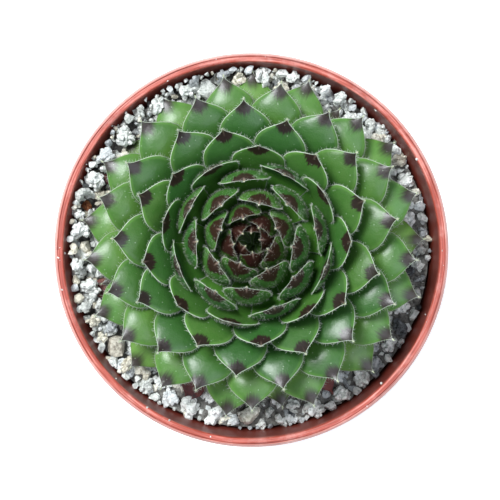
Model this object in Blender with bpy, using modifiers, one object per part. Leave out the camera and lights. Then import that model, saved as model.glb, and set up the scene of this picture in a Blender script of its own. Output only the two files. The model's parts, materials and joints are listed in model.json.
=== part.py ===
"""Potted houseleek: a spiral rosette of fleshy leaves on a short stem, in grit-topped soil in a nursery pot.

Metres, +Z up. The origin is the centre of the pot's foot, on the surface that it stands on.
"""
from math import cos, exp, hypot, pi, radians, sin, tan

import bpy
from mathutils import Matrix, Vector, noise

# Driving dimensions (metres, degrees)
POT_HEIGHT = 0.049
RIM_RADIUS = 0.0275
RIM_WIDTH = 0.0017
RIM_HEIGHT = 0.0075
WALL = 0.0011
WALL_TAPER = 7.5
RIM_STEP = 0.0011
INSIDE_CORNER = 0.0012
FOOT_RING_HEIGHT = 0.0016
FOOT_RING_WIDTH = 0.0016
FOOT_CHAMFER = 0.0005
FOOT_DRAFT = 0.0003
FLOOR = 0.0013
DRAIN_RADIUS = 0.0021
DRAIN_RING_RADIUS = 0.0100
DRAIN_COUNT = 6
FOOT_SLOT = 0.0036

GRIT_BELOW_RIM = 0.0050
GRIT_DEPTH = 0.0055
GRIT_LUMP = 0.0011
GRIT_DISH = 0.0016
GRAIN = 0.0022
CLEARANCE = 0.0003

LEAF_COUNT = 99
HEART_LEAVES = 47
FIRST_ANGLE = 88.7
TURN = 137.53
FULL_SPREAD_LEAF = 90
LEAF_TO_WALL = 0.0013
ROSETTE_RISE = 0.0150
LOWEST_TIP = 0.0040
LOWEST_SHORTER = 0.0004
DOME_ROUNDNESS = 1.09
HEART_TIP_RADIUS = 0.0010
HEART_HOLLOW = 0.0028
ROSETTE_PLACE = (0.0004, 0.0006)
ROSETTE_LEAN = (-2.3, -1.7)
STEM_RADIUS = 0.0038
STEM_TIP_RADIUS = 0.0003
STEM_HEIGHT = 0.0105
LOWEST_ROOT = 0.0011
STEM_ROOT = 0.0040
LEAF_WIDTH = 0.0074
HEART_LEAF_WIDTH = 0.0032
OUTER_LEAF_THICKNESS = 0.0014
HEART_LEAF_THICKNESS = 0.0004
ROOT_SHARE = 0.46
TIGHTEST_WRAP = 0.8
HEART_SUNK = 0.0007

ROUND_STEPS = 48
STEM_STEPS = 20
GRIT_RINGS = 10

# Loose stones on the grit by the wall: name, angle round the pot, size, turn, colour
STONES = (
    ("stone_pale", 104.8, (0.0033, 0.0030, 0.0026), 20, (0.62, 0.60, 0.56)),
    ("stone_beige", 215.5, (0.0030, 0.0024, 0.0022), 60, (0.55, 0.42, 0.30)),
    ("stone_cream", 269.5, (0.0034, 0.0027, 0.0022), 5, (0.66, 0.58, 0.46)),
    ("stone_orange", 165.0, (0.0018, 0.0015, 0.0014), 40, (0.62, 0.27, 0.08)),
)


def mix(first, last, share):
    return first + (last - first) * share


def start_clean():
    for thing in list(bpy.data.objects):
        bpy.data.objects.remove(thing, do_unlink=True)


def new_collection(name):
    collection = bpy.data.collections.new(name)
    bpy.context.scene.collection.children.link(collection)
    return collection


def material(name, colour, roughness):
    made = bpy.data.materials.new(name)
    made.use_nodes = True
    shader = made.node_tree.nodes["Principled BSDF"]
    shader.inputs["Base Color"].default_value = (*colour, 1.0)
    shader.inputs["Roughness"].default_value = roughness
    shader.inputs["Metallic"].default_value = 0.0
    return made


def move_to(thing, collection):
    for holder in list(thing.users_collection):
        holder.objects.unlink(thing)
    collection.objects.link(thing)


def finish(thing, name, look, collection):
    """Names a piece, gives it its material and shades it smooth up to its real edges."""
    thing.name = name
    thing.data.name = name
    thing.data.materials.clear()
    thing.data.materials.append(look)
    thing.data.shade_smooth()
    thing.data.set_sharp_from_angle(angle=radians(40))
    move_to(thing, collection)
    return thing


def turned(name, profile, look, collection, steps=ROUND_STEPS):
    """A profile of (radius, height) turned about Z; it runs down the outer side.

    A profile that starts away from the axis is a closed outline, and gives a ring.
    """
    mesh = bpy.data.meshes.new(name)
    edges = [(i, i + 1) for i in range(len(profile) - 1)]
    if profile[0][0] > 0:
        edges.append((len(profile) - 1, 0))
    mesh.from_pydata([(r, 0, z) for r, z in profile], edges, [])
    thing = bpy.data.objects.new(name, mesh)
    collection.objects.link(thing)
    screw = thing.modifiers.new("turn", "SCREW")
    screw.axis = "Z"
    screw.steps = steps
    screw.render_steps = steps
    screw.use_merge_vertices = True
    screw.merge_threshold = 0.00001
    return finish(thing, name, look, collection)


def cut(thing, cutter, cutters):
    cutter.hide_render = True
    cutter.display_type = "WIRE"
    move_to(cutter, cutters)
    boolean = thing.modifiers.new(cutter.name, "BOOLEAN")
    boolean.operation = "DIFFERENCE"
    boolean.solver = "EXACT"
    boolean.object = cutter


# Pot ------------------------------------------------------------------------------------------------

def wall_radius(height):
    """Outer radius of the tapered wall below the rim's band."""
    below_band = POT_HEIGHT - RIM_HEIGHT - height
    return RIM_RADIUS - RIM_STEP - below_band * tan(radians(WALL_TAPER))


def inner_radius(height):
    """Radius of the pot's inside at a height: an almost upright band at the rim, then the tapered wall."""
    band_foot = POT_HEIGHT - RIM_HEIGHT
    if height >= band_foot:
        depth = POT_HEIGHT - height
        band_inside = wall_radius(band_foot) - WALL
        top_inside = RIM_RADIUS - RIM_WIDTH
        return top_inside + (band_inside - top_inside) * depth / RIM_HEIGHT
    return wall_radius(height) - WALL


def arc(centre, radius, start, end, count):
    """Points of an arc in the profile plane, angles in degrees from straight out."""
    points = []
    for i in range(count + 1):
        a = radians(start + (end - start) * i / count)
        points.append((centre[0] + radius * cos(a), centre[1] + radius * sin(a)))
    return points


def pot_profile():
    lip = RIM_WIDTH / 2
    lip_centre = (RIM_RADIUS - lip, POT_HEIGHT - lip)
    floor_top = FOOT_RING_HEIGHT + FLOOR
    band_foot = POT_HEIGHT - RIM_HEIGHT
    profile = [(0, floor_top), (inner_radius(floor_top) - INSIDE_CORNER, floor_top)]
    profile.append((inner_radius(floor_top + INSIDE_CORNER), floor_top + INSIDE_CORNER))
    profile.append((inner_radius(band_foot), band_foot))
    profile += arc(lip_centre, lip, 180, 0, 8)
    profile.append((RIM_RADIUS, band_foot + RIM_STEP))
    profile.append((RIM_RADIUS - RIM_STEP, band_foot))
    foot = wall_radius(0)
    profile.append((wall_radius(2 * FOOT_CHAMFER), 2 * FOOT_CHAMFER))
    profile.append((foot - FOOT_CHAMFER, 0))
    profile.append((foot - FOOT_CHAMFER - FOOT_RING_WIDTH, 0))
    profile.append((foot - FOOT_CHAMFER - FOOT_RING_WIDTH - FOOT_DRAFT, FOOT_RING_HEIGHT))
    profile.append((0, FOOT_RING_HEIGHT))
    return profile


def drain_cutter(name, x, y):
    height = 4 * FLOOR
    bpy.ops.mesh.primitive_cylinder_add(
        vertices=20, radius=DRAIN_RADIUS, depth=height, location=(x, y, FOOT_RING_HEIGHT + FLOOR / 2)
    )
    cutter = bpy.context.object
    cutter.name = name
    return cutter


def slot_cutter(name, angle):
    """A notch through the foot ring, so that water runs out from under the pot."""
    bpy.ops.mesh.primitive_cube_add(size=1)
    cutter = bpy.context.object
    cutter.name = name
    depth = 0.6 * FOOT_RING_HEIGHT
    cutter.dimensions = (5 * FOOT_RING_WIDTH, FOOT_SLOT, 2 * depth)
    reach = wall_radius(0) - FOOT_RING_WIDTH / 2
    cutter.location = (reach * cos(angle), reach * sin(angle), 0)
    cutter.rotation_euler = (0, 0, angle)
    return cutter


def make_pot(parts, cutters):
    look = material("pot plastic", (0.46, 0.10, 0.05), 0.45)
    pot = turned("pot", pot_profile(), look, parts)
    cut(pot, drain_cutter("drain_middle", 0, 0), cutters)
    for i in range(DRAIN_COUNT):
        a = 2 * pi * (i + 0.5) / DRAIN_COUNT
        x = DRAIN_RING_RADIUS * cos(a)
        y = DRAIN_RING_RADIUS * sin(a)
        cut(pot, drain_cutter(f"drain_{i + 1}", x, y), cutters)
    for i in range(4):
        cut(pot, slot_cutter(f"foot_slot_{i + 1}", pi / 4 + i * pi / 2), cutters)


# Soil and grit --------------------------------------------------------------------------------------

GRIT_LEVEL = POT_HEIGHT - GRIT_BELOW_RIM


def grit_profile(hole):
    """A ring that fills the pot on top of the soil, with a hole for the stem and a dished top."""
    bottom = GRIT_LEVEL - GRIT_DEPTH
    band_foot = POT_HEIGHT - RIM_HEIGHT
    edge = inner_radius(GRIT_LEVEL) - CLEARANCE
    profile = [(hole, bottom)]
    for i in range(GRIT_RINGS + 1):
        share = i / GRIT_RINGS
        profile.append((mix(hole, edge, share), GRIT_LEVEL - GRIT_DISH * (1 - share**6)))
    if GRIT_LEVEL > band_foot > bottom:
        profile.append((inner_radius(band_foot) - CLEARANCE, band_foot))
    profile.append((inner_radius(bottom) - CLEARANCE, bottom))
    return profile


def make_soil(parts):
    look = material("potting compost", (0.05, 0.032, 0.02), 0.95)
    top = GRIT_LEVEL - GRIT_DEPTH - CLEARANCE
    bottom = FOOT_RING_HEIGHT + FLOOR + CLEARANCE
    band_foot = POT_HEIGHT - RIM_HEIGHT
    profile = [(0, top), (inner_radius(top) - CLEARANCE, top)]
    if top > band_foot:
        profile.append((inner_radius(band_foot) - CLEARANCE, band_foot))
    profile.append((inner_radius(bottom + INSIDE_CORNER) - CLEARANCE, bottom + INSIDE_CORNER))
    profile.append((inner_radius(bottom) - CLEARANCE - INSIDE_CORNER, bottom))
    profile.append((0, bottom))
    turned("soil", profile, look, parts)


def make_grit(parts):
    look = material("pumice grit", (0.42, 0.40, 0.37), 0.9)
    hole = STEM_RADIUS + CLEARANCE + hypot(*ROSETTE_PLACE)
    bed = turned("grit_bed", grit_profile(hole), look, parts)
    top = bed.vertex_groups.new(name="top")
    top.add(list(range(2, GRIT_RINGS + 1)), 1.0, "REPLACE")
    lumps = bpy.data.textures.new("grit lumps", "VORONOI")
    lumps.noise_scale = GRAIN
    lumps.noise_intensity = 1.0
    displace = bed.modifiers.new("lumps", "DISPLACE")
    displace.texture = lumps
    displace.vertex_group = "top"
    displace.texture_coords = "LOCAL"
    displace.direction = "Z"
    displace.mid_level = 0.9
    displace.strength = -GRIT_LUMP


def make_stone(name, angle, size, turn, colour, parts):
    look = material(name, colour, 0.85)
    bpy.ops.mesh.primitive_ico_sphere_add(subdivisions=2, radius=0.5)
    stone = bpy.context.object
    for vertex in stone.data.vertices:
        roughness = noise.noise(vertex.co * 3 + Vector((angle, turn, 0)))
        vertex.co *= 1 + 0.28 * roughness
    stone.data.transform(Matrix.Diagonal((*size, 1)))
    stone.rotation_euler = (radians(turn / 3), 0, radians(turn))
    a = radians(angle)
    distance = inner_radius(GRIT_LEVEL) - CLEARANCE - 0.55 * size[0]
    height = GRIT_LEVEL + 0.52 * size[2] + CLEARANCE
    stone.location = (distance * cos(a), distance * sin(a), height)
    finish(stone, name, look, parts)


# Rosette --------------------------------------------------------------------------------------------
# Leaf 0 is the innermost. Everything below is in the rosette's own frame: the stem's axis is Z, and
# height 0 is the grit level.

def age(n):
    return n / (LEAF_COUNT - 1)


def leaf_width(n):
    """Only the youngest leaves, inside the heart, are narrower than the rest."""
    return mix(LEAF_WIDTH, HEART_LEAF_WIDTH, exp(-n / 9))


def leaf_thickness(n):
    return mix(HEART_LEAF_THICKNESS, OUTER_LEAF_THICKNESS, age(n) ** 0.9)


def stem_radius(n):
    return mix(STEM_TIP_RADIUS, STEM_RADIUS, age(n) ** 0.7)


def stem_height(n):
    return mix(LOWEST_ROOT, STEM_HEIGHT, (1 - age(n)) ** 0.9)


def tip_place(n):
    """Distance from the axis and height of a leaf's tip: the tips lie on a low dome."""
    spread = inner_radius(GRIT_LEVEL) - LEAF_TO_WALL
    round_dome = pi / 2 * (n / FULL_SPREAD_LEAF) ** DOME_ROUNDNESS
    shorter = LOWEST_SHORTER * max(0, n - FULL_SPREAD_LEAF)
    radius = hypot(HEART_TIP_RADIUS, spread * sin(round_dome) - shorter)
    sunk = HEART_HOLLOW * max(0.0, 1 - n / 9) ** 2
    return radius, LOWEST_TIP + ROSETTE_RISE * cos(round_dome) - sunk


def root_slope(n):
    """Slope of the midrib where it leaves the stem: steep in the heart, just below level outside."""
    return radians(mix(-6, 64, (1 - age(n)) ** 3))


def tip_slope(n):
    """Slope of the midrib at the tip: past upright in the closed heart, almost level outside."""
    return radians(mix(4, 140, (1 - age(n)) ** 1.8))


def midrib(n):
    """The leaf's middle line as a function of the share of its length: distance, height, slope."""
    start = CLEARANCE if n >= HEART_LEAVES else -HEART_SUNK
    root = Vector((stem_radius(n) + start, stem_height(n)))
    tip = Vector(tip_place(n))
    reach = (tip - root).length * mix(0.33, 0.46, exp(-n / 15))
    near_root = root + reach * Vector((cos(root_slope(n)), sin(root_slope(n))))
    near_tip = tip - reach * Vector((cos(tip_slope(n)), sin(tip_slope(n))))

    def at(s):
        k = 1 - s
        place = k**3 * root + 3 * k * k * s * near_root + 3 * k * s * s * near_tip + s**3 * tip
        along = k * k * (near_root - root) + 2 * k * s * (near_tip - near_root) + s * s * (tip - near_tip)
        return place, along.normalized()

    return at


def outline(s, root):
    """Share of the full width at a share of the length: narrow root, full shoulders, short point."""
    widest = 0.64
    if s <= widest:
        u = s / widest
        return mix(root, 1.0, u * u * (3 - 2 * u))
    u = (s - widest) / (1 - widest)
    return max(0.0, 1 - u**1.9)


def fullness(s):
    """Share of the full thickness at a share of the length: fleshiest at the middle."""
    return 0.5 + 0.5 * sin(pi * s)


def shape_leaf(mesh, n):
    """Turns a unit ball, with its poles at root and tip, into leaf n.

    Across its width a leaf follows a circle about the stem's axis, the more upright the more so.
    """
    half_width = leaf_width(n) / 2
    half_thick = leaf_thickness(n) / 2
    middle = midrib(n)
    root = min(ROOT_SHARE, 0.6 * stem_radius(n) / half_width)
    for vertex in mesh.vertices:
        s = (vertex.co.z + 1) / 2
        girth = hypot(vertex.co.x, vertex.co.y)
        at_pole = girth < 1e-4
        across = 0.0 if at_pole else vertex.co.x / girth
        through = 0.0 if at_pole else vertex.co.y / girth
        place, along = middle(s)
        side = half_width * outline(s, root) * across
        rise = half_thick * fullness(s) * through
        wrap = max(place.x / max(0.05, along.y), TIGHTEST_WRAP * half_width)
        bend = side / wrap
        cupped = wrap * (1 - cos(bend)) + rise
        vertex.co.x = place.x - along.y * cupped
        vertex.co.y = wrap * sin(bend)
        vertex.co.z = place.y + along.x * cupped


def make_leaf(n):
    bpy.ops.mesh.primitive_uv_sphere_add(segments=6, ring_count=8, radius=1)
    leaf = bpy.context.object
    shape_leaf(leaf.data, n)
    leaf.data.transform(Matrix.Rotation(radians(FIRST_ANGLE + TURN * n), 4, "Z"))
    return leaf


def make_stem(look, parts, cutters):
    """The stem with the closed heart's leaves grown onto it."""
    profile = [(0, stem_height(0) + 0.0004)]
    for n in range(6, LEAF_COUNT, 15):
        profile.append((stem_radius(n), stem_height(n)))
    profile.append((STEM_RADIUS, 0))
    profile.append((0.7 * STEM_RADIUS, -STEM_ROOT))
    profile.append((0, -STEM_ROOT))
    stem = turned("stem_and_heart", profile, look, parts, STEM_STEPS)
    hearts = bpy.data.collections.new("heart leaves")
    cutters.children.link(hearts)
    for n in range(HEART_LEAVES):
        leaf = make_leaf(n)
        leaf.name = f"heart_leaf_{n + 1}"
        leaf.hide_render = True
        leaf.display_type = "WIRE"
        move_to(leaf, hearts)
    join = stem.modifiers.new("heart", "BOOLEAN")
    join.operation = "UNION"
    join.solver = "EXACT"
    join.operand_type = "COLLECTION"
    join.collection = hearts
    return stem


def make_rosette(parts, cutters):
    look = material("leaf", (0.09, 0.22, 0.05), 0.4)
    stem = make_stem(look, parts, cutters)
    pieces = [stem] + list(bpy.data.collections["heart leaves"].objects)
    for n in range(HEART_LEAVES, LEAF_COUNT):
        leaf = make_leaf(n)
        finish(leaf, f"leaf_{n + 1:02d}", look, parts)
        pieces.append(leaf)
    crown = bpy.data.objects.new("rosette", None)
    parts.objects.link(crown)
    crown.location = (*ROSETTE_PLACE, GRIT_LEVEL)
    crown.rotation_euler = (radians(ROSETTE_LEAN[0]), radians(ROSETTE_LEAN[1]), 0)
    for piece in pieces:
        piece.parent = crown


def main():
    start_clean()
    parts = new_collection("potted succulent")
    cutters = new_collection("cutters")
    make_pot(parts, cutters)
    make_soil(parts)
    make_grit(parts)
    for stone in STONES:
        make_stone(*stone, parts)
    make_rosette(parts, cutters)


main()
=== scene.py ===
"""A small potted succulent: a hairy-edged rosette of fleshy leaves on pale grit in a plastic nursery pot."""

import json
import random
from math import cos, exp, hypot, pi, radians, sin, tan

import bpy
from mathutils import Euler, Matrix, Vector, noise

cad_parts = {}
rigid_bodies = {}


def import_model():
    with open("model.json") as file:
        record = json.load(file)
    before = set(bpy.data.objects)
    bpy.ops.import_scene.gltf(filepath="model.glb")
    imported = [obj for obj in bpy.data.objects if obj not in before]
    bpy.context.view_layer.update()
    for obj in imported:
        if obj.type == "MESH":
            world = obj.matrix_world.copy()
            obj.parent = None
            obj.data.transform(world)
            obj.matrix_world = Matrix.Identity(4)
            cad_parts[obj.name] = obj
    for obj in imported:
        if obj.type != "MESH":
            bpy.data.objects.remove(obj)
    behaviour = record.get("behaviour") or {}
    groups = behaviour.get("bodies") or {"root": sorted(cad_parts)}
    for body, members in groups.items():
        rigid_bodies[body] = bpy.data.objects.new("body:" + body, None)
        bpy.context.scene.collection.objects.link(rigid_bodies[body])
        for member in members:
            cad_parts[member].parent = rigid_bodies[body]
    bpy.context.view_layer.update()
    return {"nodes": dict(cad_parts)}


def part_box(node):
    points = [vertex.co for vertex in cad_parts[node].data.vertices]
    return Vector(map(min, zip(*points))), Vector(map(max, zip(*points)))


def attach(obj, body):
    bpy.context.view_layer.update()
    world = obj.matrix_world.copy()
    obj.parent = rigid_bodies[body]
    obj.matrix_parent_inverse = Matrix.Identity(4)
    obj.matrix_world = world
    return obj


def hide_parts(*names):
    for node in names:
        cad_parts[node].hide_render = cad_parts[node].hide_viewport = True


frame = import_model()

MM = 0.001

# The pot's sizes, as in the CAD but for a thinner lip
POT_HEIGHT = 0.0490
RIM_RADIUS = 0.0275
RIM_WIDTH = 0.0013
RIM_HEIGHT = 0.0075
WALL = 0.0011
WALL_TAPER = 7.5
RIM_STEP = 0.0011
INSIDE_CORNER = 0.0012
FOOT_RING_HEIGHT = 0.0016
FOOT_RING_WIDTH = 0.0016
FOOT_CHAMFER = 0.0005
FOOT_DRAFT = 0.0003
FLOOR = 0.0013
DRAIN_RADIUS = 0.0021
DRAIN_RING_RADIUS = 0.0100
DRAIN_COUNT = 6
FOOT_SLOT = 0.0036
POT_STEPS = 144

# The grit
GRIT_BELOW_RIM = 0.0050
GRIT_LEVEL = POT_HEIGHT - GRIT_BELOW_RIM
GRIT_DISH = 0.0016
CLEARANCE = 0.0003
GRADES = ((0.0033, 150), (0.0024, 320), (0.0017, 560), (0.0012, 800), (0.0008, 400))
LUMP_GRADE = 0.003
CRUSTY_GRADE = 0.002
LUMPS_REACH_IN = 0.0178
STONES_REACH_IN = 0.0125
HEAP_HEIGHT = 0.0034
HEAP_ANGLE = 132
HEAP_FROM = 0.0195
HEAP_SLOPE = 0.0045
SHADY_ANGLE = -40
RIM_CRUMBS = 26
HEAP_SHARES = (("cream", 0.12), ("pale", 0.72), ("grey", 1.08), ("dark", 9.0))
LOOSE_STONES = ("stone_pale", "stone_beige", "stone_cream", "stone_orange")

# The rosette: leaf 0 is the youngest, at the heart
LEAF_COUNT = 99
HEART_LEAVES = 47
FIRST_ANGLE = 88.7
TURN = 137.53
FULL_SPREAD_LEAF = 90
LEAF_TO_WALL = 0.0013
ROSETTE_RISE = 0.0150
LOWEST_TIP = 0.0040
LOWEST_SHORTER = 0.0004
DOME_ROUNDNESS = 1.09
HEART_TIP_RADIUS = 0.0010
HEART_HOLLOW = 0.0028
ROSETTE_PLACE = (0.0004, 0.0006)
ROSETTE_LEAN = (-2.3, -1.7)
STEM_RADIUS = 0.0038
STEM_TIP_RADIUS = 0.0003
STEM_HEIGHT = 0.0105
LOWEST_ROOT = 0.0011
LEAF_WIDTH = 0.0074
HEART_LEAF_WIDTH = 0.0032
OUTER_LEAF_THICKNESS = 0.0016
OUTER_LEAF_SWELL = 0.0019
HEART_LEAF_THICKNESS = 0.0006
ROOT_SHARE = 0.46
TIGHTEST_WRAP = 0.8
BUD_BELLY = 0.0020
BUD_CUP = 0.68
BUD_LEAVES = 31
HEART_SUNK = 0.0007
THINNEST_EDGE = 0.00007
SPINE_LENGTH = 0.00038
ASTRAY = 2.4

# The hairs
FRINGE_REACH = 0.0115
FRINGE_STEP = 0.00024
YOUNG_FRINGE_STEP = 0.00022
FRINGE_LENGTH = 0.00068
YOUNG_FRINGE_LENGTH = 0.00046
HAIR_THICK = 0.000028
DOWN_THICK = 0.000018
DOWNY_LEAVES = 50

# The view
CAMERA_ABOVE_RIM = 0.24
CAMERA_ANGLE = 16.5


# Small tools ----------------------------------------------------------------------------------------

def mix(first, last, share):
    return first + (last - first) * share


def ease(share):
    share = min(1.0, max(0.0, share))
    return share * share * (3 - 2 * share)


def linear(hex_colour):
    """An sRGB hex colour as linear red, green and blue, with full alpha."""
    parts = [int(hex_colour[i : i + 2], 16) / 255 for i in (1, 3, 5)]
    parts = [c / 12.92 if c <= 0.04045 else ((c + 0.055) / 1.055) ** 2.4 for c in parts]
    return (*parts, 1.0)


def new_look(name, settings):
    """A material with its shader, whose named sockets are set and which is ready for nodes."""
    look = bpy.data.materials.new(name)
    look.use_nodes = True
    shader = look.node_tree.nodes["Principled BSDF"]
    for socket, value in settings.items():
        shader.inputs[socket].default_value = value
    return look, shader


def add(look, kind, inputs=None, stops=None, **settings):
    """Adds a node: its settings, then its inputs as values or as links from other nodes' outputs."""
    node = look.node_tree.nodes.new(kind)
    for name, value in settings.items():
        setattr(node, name, value)
    if stops:
        ramp = node.color_ramp
        while len(ramp.elements) < len(stops):
            ramp.elements.new(1.0)
        for element, (place, colour) in zip(ramp.elements, stops):
            element.position = place
            element.color = linear(colour) if isinstance(colour, str) else (colour, colour, colour, 1)
    for name, value in (inputs or {}).items():
        if isinstance(value, bpy.types.NodeSocket):
            look.node_tree.links.new(value, node.inputs[name])
        else:
            node.inputs[name].default_value = value
    return node


def join_up(look, source, target):
    look.node_tree.links.new(source, target)


def deselect():
    if bpy.context.object and bpy.context.object.mode != "OBJECT":
        bpy.ops.object.mode_set(mode="OBJECT")
    bpy.ops.object.select_all(action="DESELECT")


def only(thing):
    deselect()
    thing.select_set(True)
    bpy.context.view_layer.objects.active = thing


def set_down(thing):
    """Puts a piece's place, turn and size into its mesh."""
    only(thing)
    bpy.ops.object.transform_apply(location=True, rotation=True, scale=True)


def edit_all():
    """Opens the active piece for editing with all of it selected."""
    bpy.ops.object.mode_set(mode="EDIT")
    bpy.ops.mesh.select_all(action="SELECT")


def close_up():
    """Turns the faces of the piece being edited outward and ends the editing."""
    bpy.ops.mesh.select_all(action="SELECT")
    bpy.ops.mesh.normals_make_consistent(inside=False)
    bpy.ops.object.mode_set(mode="OBJECT")


def pull_rings(profile):
    """Draws the selected ring out along a profile of (radius, height) places, from the first of them."""
    for (radius, height), (next_radius, next_height) in zip(profile, profile[1:]):
        lift = (0, 0, next_height - height)
        bpy.ops.mesh.extrude_region_move(TRANSFORM_OT_translate={"value": lift})
        share = next_radius / radius
        bpy.ops.transform.resize(value=(share, share, 1), center_override=(0, 0, next_height))


def build(name, points, faces):
    """A new piece from its points and faces."""
    mesh = bpy.data.meshes.new(name)
    mesh.from_pydata(points, [], faces)
    thing = bpy.data.objects.new(name, mesh)
    bpy.context.scene.collection.objects.link(thing)
    return thing


def mark(thing, name, kind, values):
    """Writes a value on each point of a piece, for its material to read."""
    field = "vector" if kind == "FLOAT_VECTOR" else "value"
    thing.data.attributes.new(name, kind, "POINT").data.foreach_set(field, values)


def settle(thing, name, looks, nodes=()):
    """Names a finished piece, gives it its materials, and ties it to the pot."""
    thing.name = name
    thing.data.name = name
    thing.data.materials.clear()
    for look in looks:
        thing.data.materials.append(look)
    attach(thing, "root")
    if nodes:
        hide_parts(*nodes)
    return thing


# Leaf shape -----------------------------------------------------------------------------------------
# In the rosette's own frame: the stem's axis is Z, and height 0 is the grit level.

def wall_radius(height):
    below_band = POT_HEIGHT - RIM_HEIGHT - height
    return RIM_RADIUS - RIM_STEP - below_band * tan(radians(WALL_TAPER))


def inner_radius(height):
    band_foot = POT_HEIGHT - RIM_HEIGHT
    if height >= band_foot:
        depth = POT_HEIGHT - height
        band_inside = wall_radius(band_foot) - WALL
        top_inside = RIM_RADIUS - RIM_WIDTH
        return top_inside + (band_inside - top_inside) * depth / RIM_HEIGHT
    return wall_radius(height) - WALL


def age(n):
    return n / (LEAF_COUNT - 1)


def leaf_width(n):
    return mix(LEAF_WIDTH, HEART_LEAF_WIDTH, exp(-n / 9))


def leaf_thickness(n):
    return mix(HEART_LEAF_THICKNESS, OUTER_LEAF_THICKNESS, age(n) ** 0.8)


def leaf_swell(n):
    return mix(HEART_LEAF_THICKNESS / 2, OUTER_LEAF_SWELL, age(n) ** 0.95)


def stem_radius(n):
    return mix(STEM_TIP_RADIUS, STEM_RADIUS, age(n) ** 0.7)


def stem_height(n):
    return mix(LOWEST_ROOT, STEM_HEIGHT, (1 - age(n)) ** 0.9)


def tip_place(n):
    """Distance from the axis and height of a leaf's tip: the tips lie on a low dome."""
    spread = inner_radius(GRIT_LEVEL) - LEAF_TO_WALL
    round_dome = pi / 2 * (n / FULL_SPREAD_LEAF) ** DOME_ROUNDNESS
    shorter = LOWEST_SHORTER * max(0, n - FULL_SPREAD_LEAF)
    radius = hypot(HEART_TIP_RADIUS, spread * sin(round_dome) - shorter)
    sunk = HEART_HOLLOW * max(0.0, 1 - n / 14) ** 2
    return radius, LOWEST_TIP + ROSETTE_RISE * cos(round_dome) - sunk


def curve(root, near_root, near_tip, tip):
    """A smooth line from root to tip in (distance, height); gives its place and direction."""

    def at(s):
        k = 1 - s
        place = k**3 * root + 3 * k * k * s * near_root + 3 * k * s * s * near_tip + s**3 * tip
        along = k * k * (near_root - root) + 2 * k * s * (near_tip - near_root) + s * s * (tip - near_tip)
        return place, along.normalized()

    return at


def bud_share(n):
    """1 for the leaves of the closed bud, falling to 0 for the spread ones."""
    return exp(-((n / BUD_LEAVES) ** 4))


def midrib(n):
    start = CLEARANCE if n >= HEART_LEAVES else -HEART_SUNK
    root = Vector((stem_radius(n) + start, stem_height(n)))
    tip = Vector(tip_place(n))
    length = (tip - root).length
    in_bud = bud_share(n)
    tip_angle = radians(4 + 118 / (1 + (n / 42) ** 3.4))
    near_tip = tip - length * mix(0.33, 0.50, in_bud) * Vector((cos(tip_angle), sin(tip_angle)))
    root_angle = radians(mix(-6, 64, (1 - age(n)) ** 3))
    near_root = root + length * mix(0.33, 0.46, exp(-n / 15)) * Vector((cos(root_angle), sin(root_angle)))
    # A bud leaf bellies out past its own tip before it closes over the heart
    belly = tip.x + BUD_BELLY
    bulged = (belly - 0.064 * root.x - 0.432 * near_tip.x - 0.216 * tip.x) / 0.288
    near_root = near_root.lerp(Vector((bulged, mix(root.y, tip.y, 0.12))), in_bud)
    return curve(root, near_root, near_tip, tip)


class LeafForm:
    """One leaf's form: where a spot on it lies, given the share of its length, across and through it."""

    def __init__(self, middle, width, thickness, swell, root_share, cup=1.0, blunt=0.85, spine=1.0):
        self.middle = middle
        # Length in mm of the drawn-out tip, where the edges run hollow
        self.spine = spine
        self.cup = cup
        self.half_width = width / 2
        self.half_thick = thickness / 2
        self.swell = swell
        self.root_share = root_share
        self.runs = [0.0]
        last = middle(0)[0]
        for i in range(1, 65):
            place = middle(i / 64)[0]
            self.runs.append(self.runs[-1] + (place - last).length)
            last = place
        self.length = self.runs[-1]
        self.point = min(blunt * width, 0.7 * self.length)

    def from_tip(self, s):
        """Length of leaf between a spot and the tip."""
        step = min(63, int(s * 64))
        run = mix(self.runs[step], self.runs[step + 1], s * 64 - step)
        return self.length - run

    def share_at(self, from_tip):
        """The share of the length at a distance from the tip."""
        run = self.length - from_tip
        step = 0
        while step < 63 and self.runs[step + 1] < run:
            step += 1
        span = max(1e-9, self.runs[step + 1] - self.runs[step])
        return (step + (run - self.runs[step]) / span) / 64

    def half(self, s):
        """Half the width: full round shoulders, then a pointed arch that runs hollow into its spine."""
        back = self.from_tip(s)
        if back < self.point:
            arch = (1 - (1 - back / self.point) ** 2.7) ** 0.9
            arch *= 1 - 0.82 * exp(-((back / MM / self.spine) ** 1.6))
            return max(self.half_width * arch, THINNEST_EDGE)
        behind = (back - self.point) / max(1e-6, self.length - self.point)
        return self.half_width * mix(1.0, self.root_share, ease(behind))

    def at(self, s, across, through):
        """A place on or in the leaf; its upper side swells where no other leaf lies on it, near the tip."""
        place, along = self.middle(s)
        half = self.half(s)
        thin = min(1.0, half / self.half_width) ** 0.6
        if through > 0:
            back = self.from_tip(s) / MM
            thick = self.swell * ease(back / 4.5) ** 0.6 * (1 - 0.55 * ease((back - 5.0) / 4.0)) * thin
        else:
            thick = self.half_thick * (0.5 + 0.5 * sin(pi * s)) * thin
        side = half * across
        wrap = max(self.cup * place.x / max(0.05, along.y), TIGHTEST_WRAP * self.half_width)
        bend = side / wrap
        cupped = wrap * (1 - cos(bend)) + thick * through
        return Vector((place.x - along.y * cupped, wrap * sin(bend), place.y + along.x * cupped))


def blank_leaf():
    """A ball to shape every leaf from; its poles become the leaf's root and tip."""
    deselect()
    bpy.ops.mesh.primitive_uv_sphere_add(segments=28, ring_count=28, radius=1)
    blank = bpy.context.object
    blank.name = "blank leaf"
    return blank


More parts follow.
